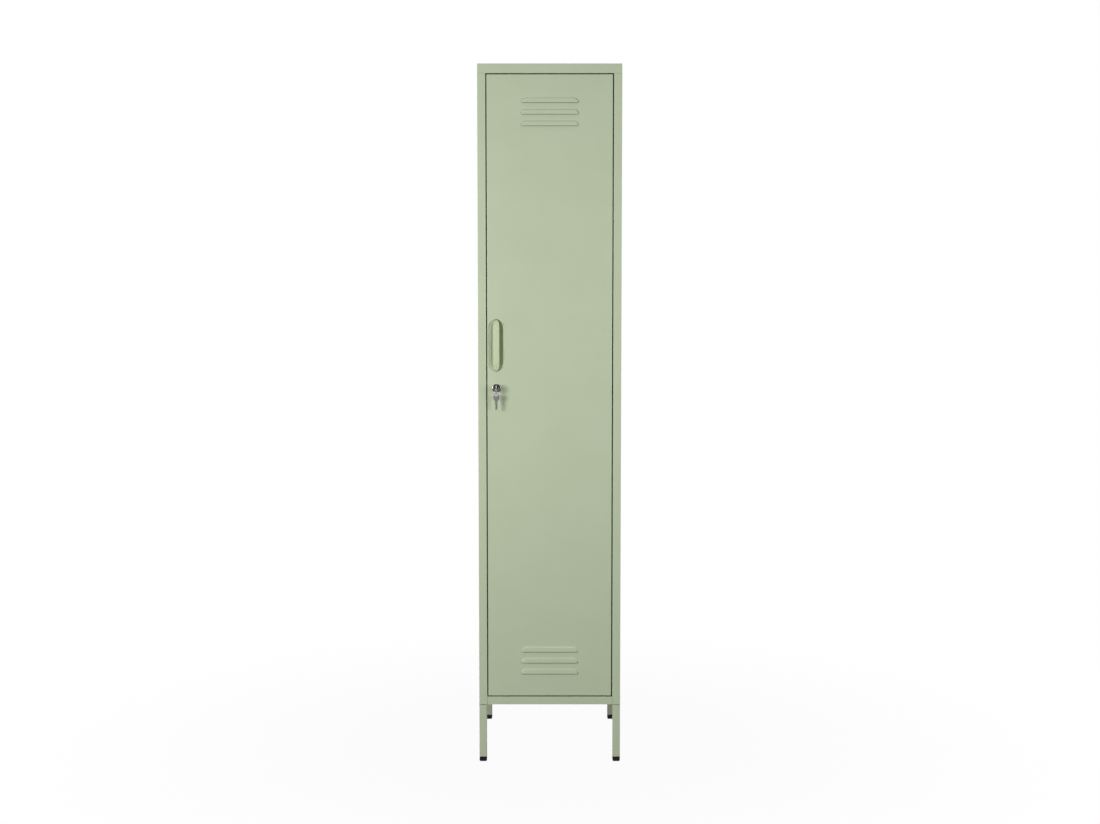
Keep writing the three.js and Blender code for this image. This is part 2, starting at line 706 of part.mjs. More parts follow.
function hingeSpring() {
  const stepsPerTurn = 8;
  const wireSides = 5;
  const wire = shapeOf(Array.from({ length: wireSides }, (_, i) => {
    const angle = i * 2 * Math.PI / wireSides;
    return [springWire * Math.cos(angle), springWire * Math.sin(angle)];
  }));
  const coil = new Coil();
  const pointsPerTurn = 4 * stepsPerTurn;
  const points = coil.getPoints(springTurns * pointsPerTurn);
  let least = Infinity;
  points.forEach((point, i) => points.slice(i + pointsPerTurn / 2).forEach((other) => {
    least = Math.min(least, point.distanceTo(other) - 2 * springWire);
  }));
  console.log(`hinge spring: least gap between its turns ${least.toFixed(2)} mm`);
  return join(new THREE.ExtrudeGeometry(wire, { steps: springTurns * stepsPerTurn, extrudePath: coil }));
}

// Inside fittings

const uprightCentre = ({ end }) => end.edgeY + end.inward * uprightInset;

function shelfUpright(corner) {
  const { hand } = corner.side;
  const y = uprightCentre(corner);
  const wall = wallInside - seat;
  const half = uprightWidth / 2;
  const plan = foldedStrip([[-wall, y + half], [-uprightFace, y + half],
    [-uprightFace, y - half], [-wall, y - half]], uprightSheet);
  const slots = [];
  for (let z = uprightBottom + slotFirst; z + slotHeight < uprightTop; z += slotPitch) {
    slots.push(block(span(hand * (uprightFace - past), hand * (uprightFace + uprightSheet + past)),
      [y - slotWidth / 2, y + slotWidth / 2], [z - slotHeight, z]));
  }
  return cut(prismZ(hand < 0 ? plan : mirrored(plan), [uprightBottom, uprightTop]), ...slots);
}

function shelf(top) {
  const y0 = frontY + shelfFront;
  const y1 = backY - shelfBack;
  const section = foldedStrip([[y0, top - shelfSkirt], [y0, top], [y1, top], [y1, top - shelfSkirt]], sheet);
  return prismX(section, [seat - uprightFace, uprightFace - seat]);
}

// The clip hooks down behind the slot's lower edge and its ledge carries the shelf.
function shelfClip(corner, top) {
  const y = uprightCentre(corner);
  const ledgeTop = top - sheet - seat;
  const under = ledgeTop - clipSheet;
  const inner = uprightFace - seat;
  const hookIn = uprightFace + uprightSheet + seat;
  const outline = [[inner - clipLedge, ledgeTop], [hookIn + clipSheet, ledgeTop],
    [hookIn + clipSheet, under - clipHook], [hookIn, under - clipHook],
    [hookIn, under], [inner, under], [inner, under - clipLeg], [inner - clipSheet, under - clipLeg],
    [inner - clipSheet, under], [inner - clipLedge, under]];
  const shape = shapeOf(outline.map(([x, z]) => [corner.side.hand * x, z]));
  return shapeAlongY(shape, [y - clipWidth / 2, y + clipWidth / 2]);
}

const railZ = shelfHeight(upperShelfSlot) - railDrop;

function railSocket(hand) {
  const wall = wallInside - seat;
  const bore = railRadius + seat;
  const profile = [[0, wall], [socketRadius, wall], [socketRadius, wall - socketBase],
    [bore + socketWall, wall - socketBase], [bore + socketWall, wall - socketBase - socketCup],
    [bore, wall - socketBase - socketCup], [bore, wall - socketBase], [0, wall - socketBase]];
  return turnedX(profile.map(([r, x]) => [r, hand * x]), [midY, railZ]);
}

function clothesRail() {
  const end = wallInside - seat - socketBase - seat;
  const bore = railRadius - railWall;
  const wall = [[bore, -end], [railRadius, -end], [railRadius, end], [bore, end], [bore, -end]];
  return turnedX(wall, [midY, railZ]);
}

function doorBumper(z) {
  const stop = frontY + jambDepth;
  const tail = stop + sheet + bumperTail;
  return turnedY([[0, doorBack + seat], [bumperRadius, doorBack + seat], [bumperRadius, stop - seat],
    [bumperStem, stop - seat], [bumperStem, tail], [0, tail]], [-openingHalf + stopLip / 2, z], 16);
}

// Assembly

for (const { word, hand } of sides) addPiece(`${word}_side_panel`, sidePanel(hand), 'powderCoat');
addPiece('top_panel', topPanel(), 'powderCoat');
addPiece('base_panel', basePanel(), 'powderCoat');
addPiece('back_panel', backPanel(), 'powderCoat');

for (const corner of corners) {
  const place = `${corner.end.word}_${corner.side.word}`;
  addPiece(`${place}_leg`, leg(corner), 'powderCoat');
  addPiece(`${place}_foot`, foot(corner), 'blackPlastic');
  const bolt = [boltRadius, boltHeadRadius, boltHeadHeight, boltShank];
  addPiece(`${place}_leg_bolt`, headedScrew(corner.side.hand, trayHalf - sheet - seat, bolt,
    boltCentre(corner), 16), 'zinc');
  addPiece(`${place}_shelf_upright`, shelfUpright(corner), 'powderCoat');
  addPiece(`${place}_upper_shelf_clip`, shelfClip(corner, shelfHeight(upperShelfSlot)), 'zinc');
  addPiece(`${place}_lower_shelf_clip`, shelfClip(corner, shelfHeight(lowerShelfSlot)), 'zinc');
}
for (const { word, hand } of sides) {
  const screw = [screwRadius, screwHeadRadius, screwHeadHeight, screwShank];
  screwHeights.forEach((z, i) => addPiece(`${word}_${['lower', 'upper'][i]}_back_screw`,
    headedScrew(hand, trayHalf - sheet - seat, screw, [backY - boltInset, z], 12), 'zinc'));
  addPiece(`${word}_rail_socket`, railSocket(hand), 'nylon');
}
addPiece('upper_shelf', shelf(shelfHeight(upperShelfSlot)), 'powderCoat');
addPiece('lower_shelf', shelf(shelfHeight(lowerShelfSlot)), 'powderCoat');
addPiece('clothes_rail', clothesRail(), 'chrome');
bumperHeights.forEach((z, i) => addPiece(`${['lower', 'upper'][i]}_door_bumper`, doorBumper(z), 'rubber'));

addPiece('door_panel', doorPanel(), 'powderCoat');
addPiece('door_stiffener', doorStiffener(), 'powderCoat');
addPiece('grip_cup', gripCup(), 'gripPlastic');
addPiece('lower_hinge_bush', bush(lowerBushTop, floorTop + seat, floorTop - bushLength), 'blackPlastic');
addPiece('upper_hinge_bush', bush(upperBushBase, panelTop, capBase + bushLength), 'blackPlastic');
addPiece('lower_hinge_pin', hingePin(), 'zinc');
addPiece('upper_hinge_bolt', hingeBolt(), 'zinc');
addPiece('hinge_bolt_bracket', hingeBracket(), 'zinc');
addPiece('hinge_bolt_spring', hingeSpring(), 'zinc');
addPiece('lock_body', lockBody(), 'chrome');
addPiece('lock_nut', lockNut(), 'zinc');
addPiece('lock_plug', lockPlug(), 'chrome');
addPiece('lock_cam', lockCam(), 'zinc');
addPiece('cam_screw', camScrew(), 'zinc');
addPiece('key', key(), 'nickel');
addPiece('key_ring', keyRing(), 'nickel');
addPiece('spare_key', spareKey(), 'nickel');

export default locker;
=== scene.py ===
import json
import math

import bmesh
import bpy
from mathutils import Matrix, Vector


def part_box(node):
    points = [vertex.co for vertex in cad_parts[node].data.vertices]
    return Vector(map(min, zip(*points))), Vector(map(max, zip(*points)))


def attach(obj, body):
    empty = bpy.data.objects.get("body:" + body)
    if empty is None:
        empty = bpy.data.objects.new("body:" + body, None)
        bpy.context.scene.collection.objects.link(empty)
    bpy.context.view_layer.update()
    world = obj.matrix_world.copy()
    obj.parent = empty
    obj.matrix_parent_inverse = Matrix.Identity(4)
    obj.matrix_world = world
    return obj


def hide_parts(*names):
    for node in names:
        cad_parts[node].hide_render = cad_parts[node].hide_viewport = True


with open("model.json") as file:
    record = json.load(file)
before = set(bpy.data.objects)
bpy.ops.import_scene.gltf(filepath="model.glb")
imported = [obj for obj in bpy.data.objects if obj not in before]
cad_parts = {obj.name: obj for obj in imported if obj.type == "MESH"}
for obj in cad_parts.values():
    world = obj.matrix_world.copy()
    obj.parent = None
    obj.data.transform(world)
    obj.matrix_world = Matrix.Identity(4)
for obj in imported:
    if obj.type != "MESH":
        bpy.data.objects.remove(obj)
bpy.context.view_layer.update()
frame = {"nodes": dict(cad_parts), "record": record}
mm = 0.001
bodies = frame["record"]["behaviour"]["bodies"]
bodyOf = {node: body for body, nodes in bodies.items() for node in nodes}
slotOf = {part["node"]: part["material_slot"] for part in frame["record"]["subparts"]}
print("frame loaded:", len(frame["nodes"]), "nodes")


# colours are written as sRGB hex and shaders want linear light
def linear(hexColour):
    channels = [int(hexColour[i:i + 2], 16) / 255 for i in (1, 3, 5)]
    return [c / 12.92 if c <= 0.04045 else ((c + 0.055) / 1.055) ** 2.4 for c in channels] + [1.0]


# adds a node, sets its properties, then feeds each input a value or another node's socket
def addNode(material, kind, inputs=(), **settings):
    node = material.node_tree.nodes.new(kind)
    for name, value in settings.items():
        setattr(node, name, value)
    for name, value in dict(inputs).items():
        if isinstance(value, bpy.types.NodeSocket):
            material.node_tree.links.new(value, node.inputs[name])
        else:
            node.inputs[name].default_value = value
    return node


def newMaterial(name):
    material = bpy.data.materials.new(name)
    material.use_nodes = True
    material.node_tree.nodes.clear()
    return material


def closeMaterial(material, shader):
    addNode(material, "ShaderNodeOutputMaterial", {"Surface": shader.outputs[0]})
    return material


# noise whose grain has the given size in millimetres
def addNoise(material, place, size, detail):
    return addNode(material, "ShaderNodeTexNoise", {
        "Vector": place, "Scale": 1 / (size * mm), "Detail": detail})


def addBlend(material, noise, colour, other):
    blend = addNode(material, "ShaderNodeMix", {"Factor": noise.outputs["Fac"], "A": linear(colour),
                                                "B": linear(other)}, data_type="RGBA")
    return blend.outputs["Result"]


# roughness that follows a noise, from a little under the look's own to a little over it
def addGloss(material, noise, look):
    gloss = addNode(material, "ShaderNodeMapRange", {
        "Value": noise.outputs["Fac"], "To Min": look["roughness"] - look["smoother"],
        "To Max": look["roughness"] + look["rougher"]})
    return gloss.outputs["Result"]


# a bump is given as its strength and its depth in millimetres
def addBump(material, noise, bump, under=None):
    inputs = {"Height": noise.outputs["Fac"], "Strength": bump[0], "Distance": bump[1] * mm}
    if under is not None:
        inputs["Normal"] = under
    return addNode(material, "ShaderNodeBump", inputs).outputs["Normal"]


# satin polyester powder coat on sheet steel: even sage green, a soft sheen, a faint orange peel
# and a slow ripple where the sheet isn't quite flat; the peel is drawn coarser than the real one,
# so that it shows
powderCoatLook = dict(colour="#B7C2A7", shade="#B1BDA0", patch=90, peel=1.6, peelBump=(0.1, 0.2),
                      ripple=140, rippleBump=(0.12, 4), roughness=0.42, smoother=0.04,
                      rougher=0.05, ior=1.5)


def makePowderCoat():
    look = powderCoatLook
    m = newMaterial("sage powder coat")
    place = addNode(m, "ShaderNodeTexCoord").outputs["Object"]
    patch = addNoise(m, place, look["patch"], 2.0)
    peel = addNoise(m, place, look["peel"], 1.0)
    ripple = addNoise(m, place, look["ripple"], 0.0)
    slow = addBump(m, ripple, look["rippleBump"])
    shader = addNode(m, "ShaderNodeBsdfPrincipled", {
        "Base Color": addBlend(m, patch, look["colour"], look["shade"]),
        "Roughness": addGloss(m, peel, look), "IOR": look["ior"],
        "Normal": addBump(m, peel, look["peelBump"], slow)})
    return closeMaterial(m, shader)


# ABS moulded in the door's colour: smoother and a touch glossier than the coat around it. Its
# colour is painted a little lighter and greener than the coat's, as painted bounce light in the
# shaded dish
gripLook = dict(colour="#B9C6A3", worn="#BFCBAA", wear=25, grain=0.8, grainBump=(0.08, 0.1),
                roughness=0.34, smoother=0.05, rougher=0.06, ior=1.53)


def makeGripPlastic():
    look = gripLook
    m = newMaterial("sage moulded ABS")
    place = addNode(m, "ShaderNodeTexCoord").outputs["Object"]
    grain = addNoise(m, place, look["grain"], 2.0)
    wear = addNoise(m, place, look["wear"], 2.0)
    shader = addNode(m, "ShaderNodeBsdfPrincipled", {
        # the base colour carries the painted bounce light of the dish
        "Base Color": addBlend(m, wear, look["colour"], look["worn"]),
        "Roughness": addGloss(m, wear, look), "IOR": look["ior"],
        "Normal": addBump(m, grain, look["grainBump"])})
    return closeMaterial(m, shader)


# bright chrome on die-cast zinc: a mirror with hair-fine handling scratches. Its colour is set
# darker than chrome's own, as painted shade that darkens everything it mirrors
chromeLook = dict(colour="#A6A8AA", scratch=0.35, drawn=0.08, faint=0.4, deep=0.75, polished=0.048,
                  scuffed=0.176)


def makeChrome():
    look = chromeLook
    m = newMaterial("bright chrome plate")
    place = addNode(m, "ShaderNodeTexCoord").outputs["Object"]
    along = addNode(m, "ShaderNodeMapping", {"Vector": place, "Scale": (1.0, 1.0, look["drawn"])})
    scratch = addNoise(m, along.outputs[0], look["scratch"], 2.0)
    gloss = addNode(m, "ShaderNodeMapRange", {
        "Value": scratch.outputs["Fac"], "From Min": look["faint"], "From Max": look["deep"],
        "To Min": look["polished"], "To Max": look["scuffed"]})
    shader = addNode(m, "ShaderNodeBsdfPrincipled", {
        # the base colour is darker than real chrome: painted shade in the lock's reflections
        "Base Color": linear(look["colour"]), "Metallic": 1.0,
        "Roughness": gloss.outputs["Result"]})
    return closeMaterial(m, shader)


# dull platings on small steel parts: zinc with a cloudy bloom, and warmer nickel on the keys
platedLooks = dict(
    zinc_steel=dict(name="bright zinc plate", colour="#B9BBB8", cloud="#A3A6A4", bloom=6,
                    roughness=0.38, smoother=0.1, rougher=0.12),
    nickel=dict(name="dull nickel plate", colour="#D2D2CF", cloud="#C4C5C3", bloom=4,
                roughness=0.4, smoother=0.1, rougher=0.12))


def makePlated(look):
    m = newMaterial(look["name"])
    place = addNode(m, "ShaderNodeTexCoord").outputs["Object"]
    bloom = addNoise(m, place, look["bloom"], 4.0)
    shader = addNode(m, "ShaderNodeBsdfPrincipled", {
        "Base Color": addBlend(m, bloom, look["colour"], look["cloud"]), "Metallic": 1.0,
        "Roughness": addGloss(m, bloom, look)})
    return closeMaterial(m, shader)


# plain moulded plastics and rubber differ in colour, grain and gloss
mouldedLooks = dict(
    black_plastic=dict(name="black moulded polypropylene", colour="#0C0C0D", light="#121213",
                       grain=0.6, grainBump=(0.15, 0.2), roughness=0.55, sheen=0.2),
    nylon=dict(name="natural nylon", colour="#E2DFD6", light="#EAE8E0", grain=1.2,
               grainBump=(0.06, 0.2), roughness=0.48, sheen=0.5),
    rubber=dict(name="moulded black rubber", colour="#262626", light="#303030", grain=0.9,
                grainBump=(0.2, 0.2), roughness=0.82, sheen=0.3))


def makeMoulded(look):
    m = newMaterial(look["name"])
    place = addNode(m, "ShaderNodeTexCoord").outputs["Object"]
    grain = addNoise(m, place, look["grain"], 3.0)
    shader = addNode(m, "ShaderNodeBsdfPrincipled", {
        "Base Color": addBlend(m, grain, look["colour"], look["light"]),
        "Roughness": look["roughness"], "IOR": 1.5, "Specular IOR Level": look["sheen"],
        "Normal": addBump(m, grain, look["grainBump"])})
    return closeMaterial(m, shader)


finish = {"powder_coat": makePowderCoat(), "grip_plastic": makeGripPlastic(),
          "chrome": makeChrome()}
finish.update({slotName: makePlated(look) for slotName, look in platedLooks.items()})
finish.update({slotName: makeMoulded(look) for slotName, look in mouldedLooks.items()})
print("materials ready:", ", ".join(m.name for m in finish.values()))


# models are drawn in millimetres, in the shared frame, and scaled when they are placed; these are
# the distances at which two places count as one, for picking, for welding and for cutting
touch, weld, snap = 0.01, 1e-4, 1e-5


def boxOf(node):
    return [[c / mm for c in corner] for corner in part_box(node)]


def asObject(name, bm):
    mesh = bpy.data.meshes.new(name)
    bm.to_mesh(mesh)
    bm.free()
    thing = bpy.data.objects.new(name, mesh)
    bpy.context.collection.objects.link(thing)
    return thing


def vertsIn(geom):
    return [g for g in geom if isinstance(g, bmesh.types.BMVert)]


def middle(box):
    return [(a + b) / 2 for a, b in zip(*box)]


# turns a bmesh into a piece that rides on its node's body and stands for that node
def placePiece(name, bm, node, sharp=35):
    piece = asObject(name, bm)
    piece.data.shade_smooth()
    piece.data.set_sharp_from_angle(angle=math.radians(sharp))
    piece.data.materials.append(finish[slotOf[node]])
    even = piece.modifiers.new("even shading", "WEIGHTED_NORMAL")
    even.keep_sharp = True
    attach(piece, bodyOf[node])
    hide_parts(node)


def placeModel(name, bm, node, sharp=35):
    bmesh.ops.scale(bm, vec=(mm, mm, mm), verts=bm.verts)
    placePiece(name, bm, node, sharp)


# thickens an open sheet inward, then cuts the tools out of it or joins them to it
def pressed(bm, gauge=None, tools=(), operation="DIFFERENCE"):
    blank = asObject("blank", bm)
    if gauge:
        wall = blank.modifiers.new("gauge", "SOLIDIFY")
        wall.thickness = gauge
        wall.offset = -1
        wall.use_even_offset = True
    cutters = [asObject("tool", tool) for tool in tools]
    for cutter in cutters:
        step = blank.modifiers.new("tool", "BOOLEAN")
        step.operation = operation
        step.solver = "EXACT"
        step.use_self = operation == "UNION"
        step.object = cutter
    bpy.context.view_layer.update()
    shaped = bmesh.new()
    shaped.from_object(blank, bpy.context.evaluated_depsgraph_get())
    for spent in [blank, *cutters]:
        bpy.data.objects.remove(spent)
    return shaped


def blockMesh(xs, ys, zs):
    bm = bmesh.new()
    bmesh.ops.create_cube(bm, size=1.0)
    sizes = [b - a for a, b in (xs, ys, zs)]
    bmesh.ops.scale(bm, vec=sizes, verts=bm.verts)
    bmesh.ops.translate(bm, vec=[(a + b) / 2 for a, b in (xs, ys, zs)], verts=bm.verts)
    return bm


def rodMesh(radius, axis, centre, reach, segments=48):
    bm = bmesh.new()
    bmesh.ops.create_cone(bm, cap_ends=True, segments=segments, radius1=radius, radius2=radius,
                          depth=reach)
    if axis == "Y":
        bmesh.ops.rotate(bm, matrix=Matrix.Rotation(math.pi / 2, 3, "X"), verts=bm.verts)
    bmesh.ops.translate(bm, vec=centre, verts=bm.verts)
    return bm


def bevelEdges(bm, edges, radius, segments=4):
    bmesh.ops.bevel(bm, geom=list(edges), offset=radius, offset_type="OFFSET", affect="EDGES",
                    segments=segments, profile=0.5, material=-1, clamp_overlap=True)


def facesTowards(bm, direction):
    bm.normal_update()
    return [f for f in bm.faces if f.normal.dot(Vector(direction)) > 0.99]


# edges that are folded by more than an angle
def sharpEdges(bm, degrees):
    bend = math.radians(degrees)
    return [e for e in bm.edges if e.is_manifold and e.calc_face_angle() > bend]


def climbs(edge):
    return abs(edge.verts[0].co.z - edge.verts[1].co.z) > 1


def liesAt(edge, axis, value):
    return all(abs(v.co[axis] - value) < touch for v in edge.verts)


# a profile of radius and reach spun about an axis along Y
def turnedMesh(profile, centre, steps=56):
    bm = bmesh.new()
    verts = [bm.verts.new((r, 0, z)) for r, z in profile]
    edges = [bm.edges.new(pair) for pair in zip(verts, verts[1:])]
    bmesh.ops.spin(bm, geom=verts + edges, cent=(0, 0, 0), axis=(0, 0, 1), angle=math.tau,
                   steps=steps, use_merge=True)
    bmesh.ops.remove_doubles(bm, verts=bm.verts, dist=weld)
    bmesh.ops.recalc_face_normals(bm, faces=bm.faces)
    bmesh.ops.rotate(bm, matrix=Matrix.Rotation(-math.pi / 2, 3, "X"), verts=bm.verts)
    bmesh.ops.translate(bm, vec=centre, verts=bm.verts)
    return bm


# door: one pan of sheet, folded round four sides, with lips at the back and pressed louvre hoods
doorShape = dict(gauge=1.0, fold=1.3, foldFrom=60, lip=12, louvreHalf=75, louvreRise=13,
                 louvreProud=4, louvreTop=0.7, louvreCorner=12, louvreRamp=2.2, slot=0.8,
                 slotFrom=0.3, fine=0.75, fineSteps=16, coarse=(20, 35, 55, 75), border=8,
                 pinHole=3.3, pinReach=6, lockHole=9.3, lockReach=8, gripReach=(-8, 4))
frontFace = boxOf("left_side_panel")[0][1]
louvreSills = (242.5, 272.5, 302.5, 1704, 1734, 1764)
everywhere = (-1e4, 1e4)


# how far the hood stands out; its top corners are round and its bottom edge is cut straight
def hoodHeight(x, above):
    s = doorShape
    inX, inZ, corner = s["louvreHalf"] - abs(x), s["louvreRise"] - above, s["louvreCorner"]
    inside = min(inX, inZ)
    if inX < corner and inZ < corner:
        inside = corner - math.hypot(corner - inX, corner - inZ)
    if inside <= 0 or above < -touch:
        return 0.0
    out = s["louvreProud"] * (1 - (1 - s["louvreTop"]) * max(0.0, above) / s["louvreRise"])
    return out * math.sin(math.pi / 2 * min(1.0, inside / s["louvreRamp"]))


# cuts the front skin along a line, within a window of it, so that the fine mesh stays round the
# louvres
def splitFront(bm, place, normal, xs=everywhere, zs=everywhere):
    faces = []
    for f in facesTowards(bm, (0, -1, 0)):
        at = f.calc_center_bounds()
        if abs(at.y - frontFace) < touch and xs[0] < at.x < xs[1] and zs[0] < at.z < zs[1]:
            faces.append(f)
    edges = {e for f in faces for e in f.edges}
    verts = {v for f in faces for v in f.verts}
    bmesh.ops.bisect_plane(bm, geom=[*faces, *edges, *verts], plane_co=place, plane_no=normal,
                           dist=snap)


def makeDoor():
    s = doorShape
    lo, hi = boxOf("door_panel")
    bm = blockMesh((lo[0], hi[0]), (frontFace, hi[1]), (lo[2], hi[2]))
    bmesh.ops.delete(bm, geom=facesTowards(bm, (0, 1, 0)), context="FACES")
    rim = [e for e in bm.edges if e.is_boundary]
    lips = bmesh.ops.extrude_edge_only(bm, edges=rim)
    for v in vertsIn(lips["geom"]):
        v.co.x -= math.copysign(s["lip"], v.co.x)
        v.co.z -= s["lip"] if v.co.z > (lo[2] + hi[2]) / 2 else -s["lip"]
    bm.normal_update()
    bevelEdges(bm, sharpEdges(bm, s["foldFrom"]), s["fold"])
    half, fine, edge = s["louvreHalf"], s["fine"], s["louvreHalf"] + s["border"]
    steps = [half + fine - i * fine for i in range(s["fineSteps"])]
    steps += [half - away for away in s["coarse"]]
    rows = [-s["slot"], 0] + [i * fine for i in range(1, int(s["louvreRise"] / fine) + 2)]
    for group in (louvreSills[:3], louvreSills[3:]):
        band = (group[0] - s["border"], group[-1] + s["louvreRise"] + s["border"])
        for z in band:
            splitFront(bm, (0, 0, z), (0, 0, 1))
        for x in (-edge, edge):
            splitFront(bm, (x, 0, 0), (1, 0, 0), zs=band)
        for x in sorted({side * step for step in steps for side in (-1, 1)}):
            splitFront(bm, (x, 0, 0), (1, 0, 0), (-edge, edge), band)
        for z in [sill + row for sill in group for row in rows]:
            splitFront(bm, (0, 0, z), (0, 0, 1), (-edge, edge), band)
    raised = {}
    for v in bm.verts:
        if abs(v.co.y - frontFace) < touch:
            sill = min(louvreSills, key=lambda each: abs(v.co.z - each - s["louvreRise"] / 2))
            raised[v] = hoodHeight(v.co.x, v.co.z - sill)
    cuts = []
    for f in facesTowards(bm, (0, -1, 0)):
        z = f.calc_center_median().z
        under = any(sill - s["slot"] < z < sill for sill in louvreSills)
        if under and sum(raised.get(v, 0) > s["slotFrom"] for v in f.verts) > 1:
            cuts.append(f)
    for v, out in raised.items():
        v.co.y -= out
    bmesh.ops.delete(bm, geom=cuts, context="FACES")
    lockAt, pinAt = middle(boxOf("lock_body")), middle(boxOf("lower_hinge_pin"))
    tools = [gripPrism(gripShape["rim"], *(frontFace + reach for reach in s["gripReach"])),
             rodMesh(s["lockHole"], "Y", (lockAt[0], frontFace, lockAt[2]), s["lockReach"])]
    tools += [rodMesh(s["pinHole"], "Z", (*pinAt[:2], z), s["pinReach"]) for z in (lo[2], hi[2])]
    placeModel("door_pan", pressed(bm, s["gauge"], tools), "door_panel")


# grip: one moulding, a long dish with a soft rim and a bar along it whose ends run back into it
# the dish is given as inset and depth, from its back over the rim and down inside; the bar as its
# reach from the middle, how far it lies back there, and its share of the full width
gripShape = dict(rim=1, arc=32, endRise=21, endPower=1.6,
                 dish=((5.6, 14.0), (2.8, 13.2), (1.7, 11.5), (1.3, 0.1), (0.05, 0.0),
                       (0.0, -0.3), (0.1, -0.55), (0.35, -0.7), (0.75, -0.6), (1.3, 0.0),
                       (1.9, 0.9), (1.95, 4.0), (2.0, 8.4), (2.5, 11.0), (4.4, 12.1),
                       (9.5, 12.2)),
                 inside=9, ramp=0.87,
                 bar=((43, 0, 1), (48, 0.5, 1), (53, 1.9, 1), (58, 4.2, 0.98), (63, 7.2, 0.85),
                      (69, 10.6, 0.42)),
                 barHalf=7.7, waistHalf=5.5, barProud=1.6, barLip=0.6, barBack=5, barEase=2.4,
                 barFrom=50, deepest=12.8)
gripBox = boxOf("grip_cup")
gripAt = middle(gripBox)


# one closed loop of the dish: straight flanks with half an ellipse at each end
def gripLoop(bm, inset, y, fill=False):
    s = gripShape
    half = (gripBox[1][0] - gripBox[0][0]) / 2 - inset
    straight = (gripBox[1][2] - gripBox[0][2]) / 2 - s["endRise"]
    loop = bmesh.ops.create_circle(bm, segments=2 * s["arc"], radius=1.0, cap_ends=fill)["verts"]
    bmesh.ops.rotate(bm, matrix=Matrix.Rotation(math.pi / 2, 3, "X"), verts=loop)
    bmesh.ops.rotate(bm, matrix=Matrix.Rotation(math.pi / (2 * s["arc"]), 3, "Y"), verts=loop)
    # a power under 2 draws the ends a little pointed
    for v in loop:
        x, z = (math.copysign(abs(c) ** (2 / s["endPower"]), c) for c in (v.co.x, v.co.z))
        v.co.x, v.co.z = half * x, (s["endRise"] - inset) * z + math.copysign(straight, z)
    bmesh.ops.translate(bm, vec=(gripAt[0], y, gripAt[2]), verts=loop)
    return list({e for v in loop for e in v.link_edges})


def gripPrism(inset, y0, y1):
    bm = bmesh.new()
    ends = [gripLoop(bm, inset, y, fill=True) for y in (y0, y1)]
    bmesh.ops.bridge_loops(bm, edges=ends[0] + ends[1])
    bmesh.ops.recalc_face_normals(bm, faces=bm.faces)
    return bm


def makeGrip():
    s = gripShape
    dish = bmesh.new()
    last = len(s["dish"]) - 1
    loops = [gripLoop(dish, inset, frontFace + y, fill=i in (0, last))
             for i, (inset, y) in enumerate(s["dish"])]
    # the finger side is the right one, so left of the bar the dish runs down to it in a ramp
    for (inset, y), loop in list(zip(s["dish"], loops))[s["inside"]:]:
        for v in {v for e in loop for v in e.verts}:
            left = max(0.0, min(1.0, (gripAt[0] - v.co.x) / s["barHalf"]))
            v.co.y -= left * max(0.0, y - s["ramp"] * inset)
    for near, far in zip(loops, loops[1:]):
        bmesh.ops.bridge_loops(dish, edges=near + far)
    bmesh.ops.recalc_face_normals(dish, faces=dish.faces)
    bar = bmesh.new()
    stations = [(-w, back, wide) for w, back, wide in reversed(s["bar"])] + list(s["bar"])
    rings = []
    for w, back, wide in stations:
        deep = min(s["barBack"] + back, s["deepest"])
        outline = ((-s["barHalf"], -s["barProud"] + back), (s["barHalf"], -s["barProud"] + back),
                   (s["barHalf"], s["barLip"] + back), (s["waistHalf"], deep),
                   (-s["waistHalf"], deep), (-s["barHalf"], s["barLip"] + back))
        verts = [bar.verts.new((gripAt[0] + x * wide, frontFace + y, gripAt[2] + w))
                 for x, y in outline]
        rings.append(bar.faces.new(verts) if abs(w) == s["bar"][-1][0] else verts)
    loops = []
    for ring in rings:
        if isinstance(ring, bmesh.types.BMFace):
            loops.append(list(ring.edges))
        else:
            loops.append([bar.edges.new((ring[i - 1], ring[i])) for i in range(len(ring))])
    for near, far in zip(loops, loops[1:]):
        bmesh.ops.bridge_loops(bar, edges=near + far)
    bmesh.ops.recalc_face_normals(bar, faces=bar.faces)
    bar.normal_update()
    bevelEdges(bar, [e for e in sharpEdges(bar, s["barFrom"]) if climbs(e)], s["barEase"])
    placeModel("grip_moulding", pressed(dish, None, [bar], "UNION"), "grip_cup", sharp=40)


# folded sheet: a path in plan, drawn up to its height, with rounded folds; the gauge lies right of
# the path
def foldedSheet(path, zs, fold, gauge, tools=()):
    bm = bmesh.new()
    verts = [bm.verts.new((x, y, zs[0])) for x, y in path]
    edges = [bm.edges.new(pair) for pair in zip(verts, verts[1:])]
    drawn = bmesh.ops.extrude_edge_only(bm, edges=edges)
    bmesh.ops.translate(bm, vec=(0, 0, zs[1] - zs[0]), verts=vertsIn(drawn["geom"]))
    bmesh.ops.recalc_face_normals(bm, faces=bm.faces)
    bm.normal_update()
    run = verts[1].co - verts[0].co
    first = next(f for f in bm.faces if verts[0] in f.verts)
    if first.normal.dot(Vector((-run.y, run.x, 0))) < 0:
        bmesh.ops.reverse_faces(bm, faces=bm.faces)
    bevelEdges(bm, [e for e in bm.edges if e.is_manifold], fold)
    return pressed(bm, gauge, tools)


# side panels: stile, jamb and stop lip in front, wall, and the closed-in corner at the back
capBase = boxOf("top_panel")[0][2]
panelShape = dict(gauge=0.8, fold=1.0, stile=21.5, jamb=22, lip=12, seat=0.3,
                  notch=dict(side=0.2, past=1, front=2, back=4))


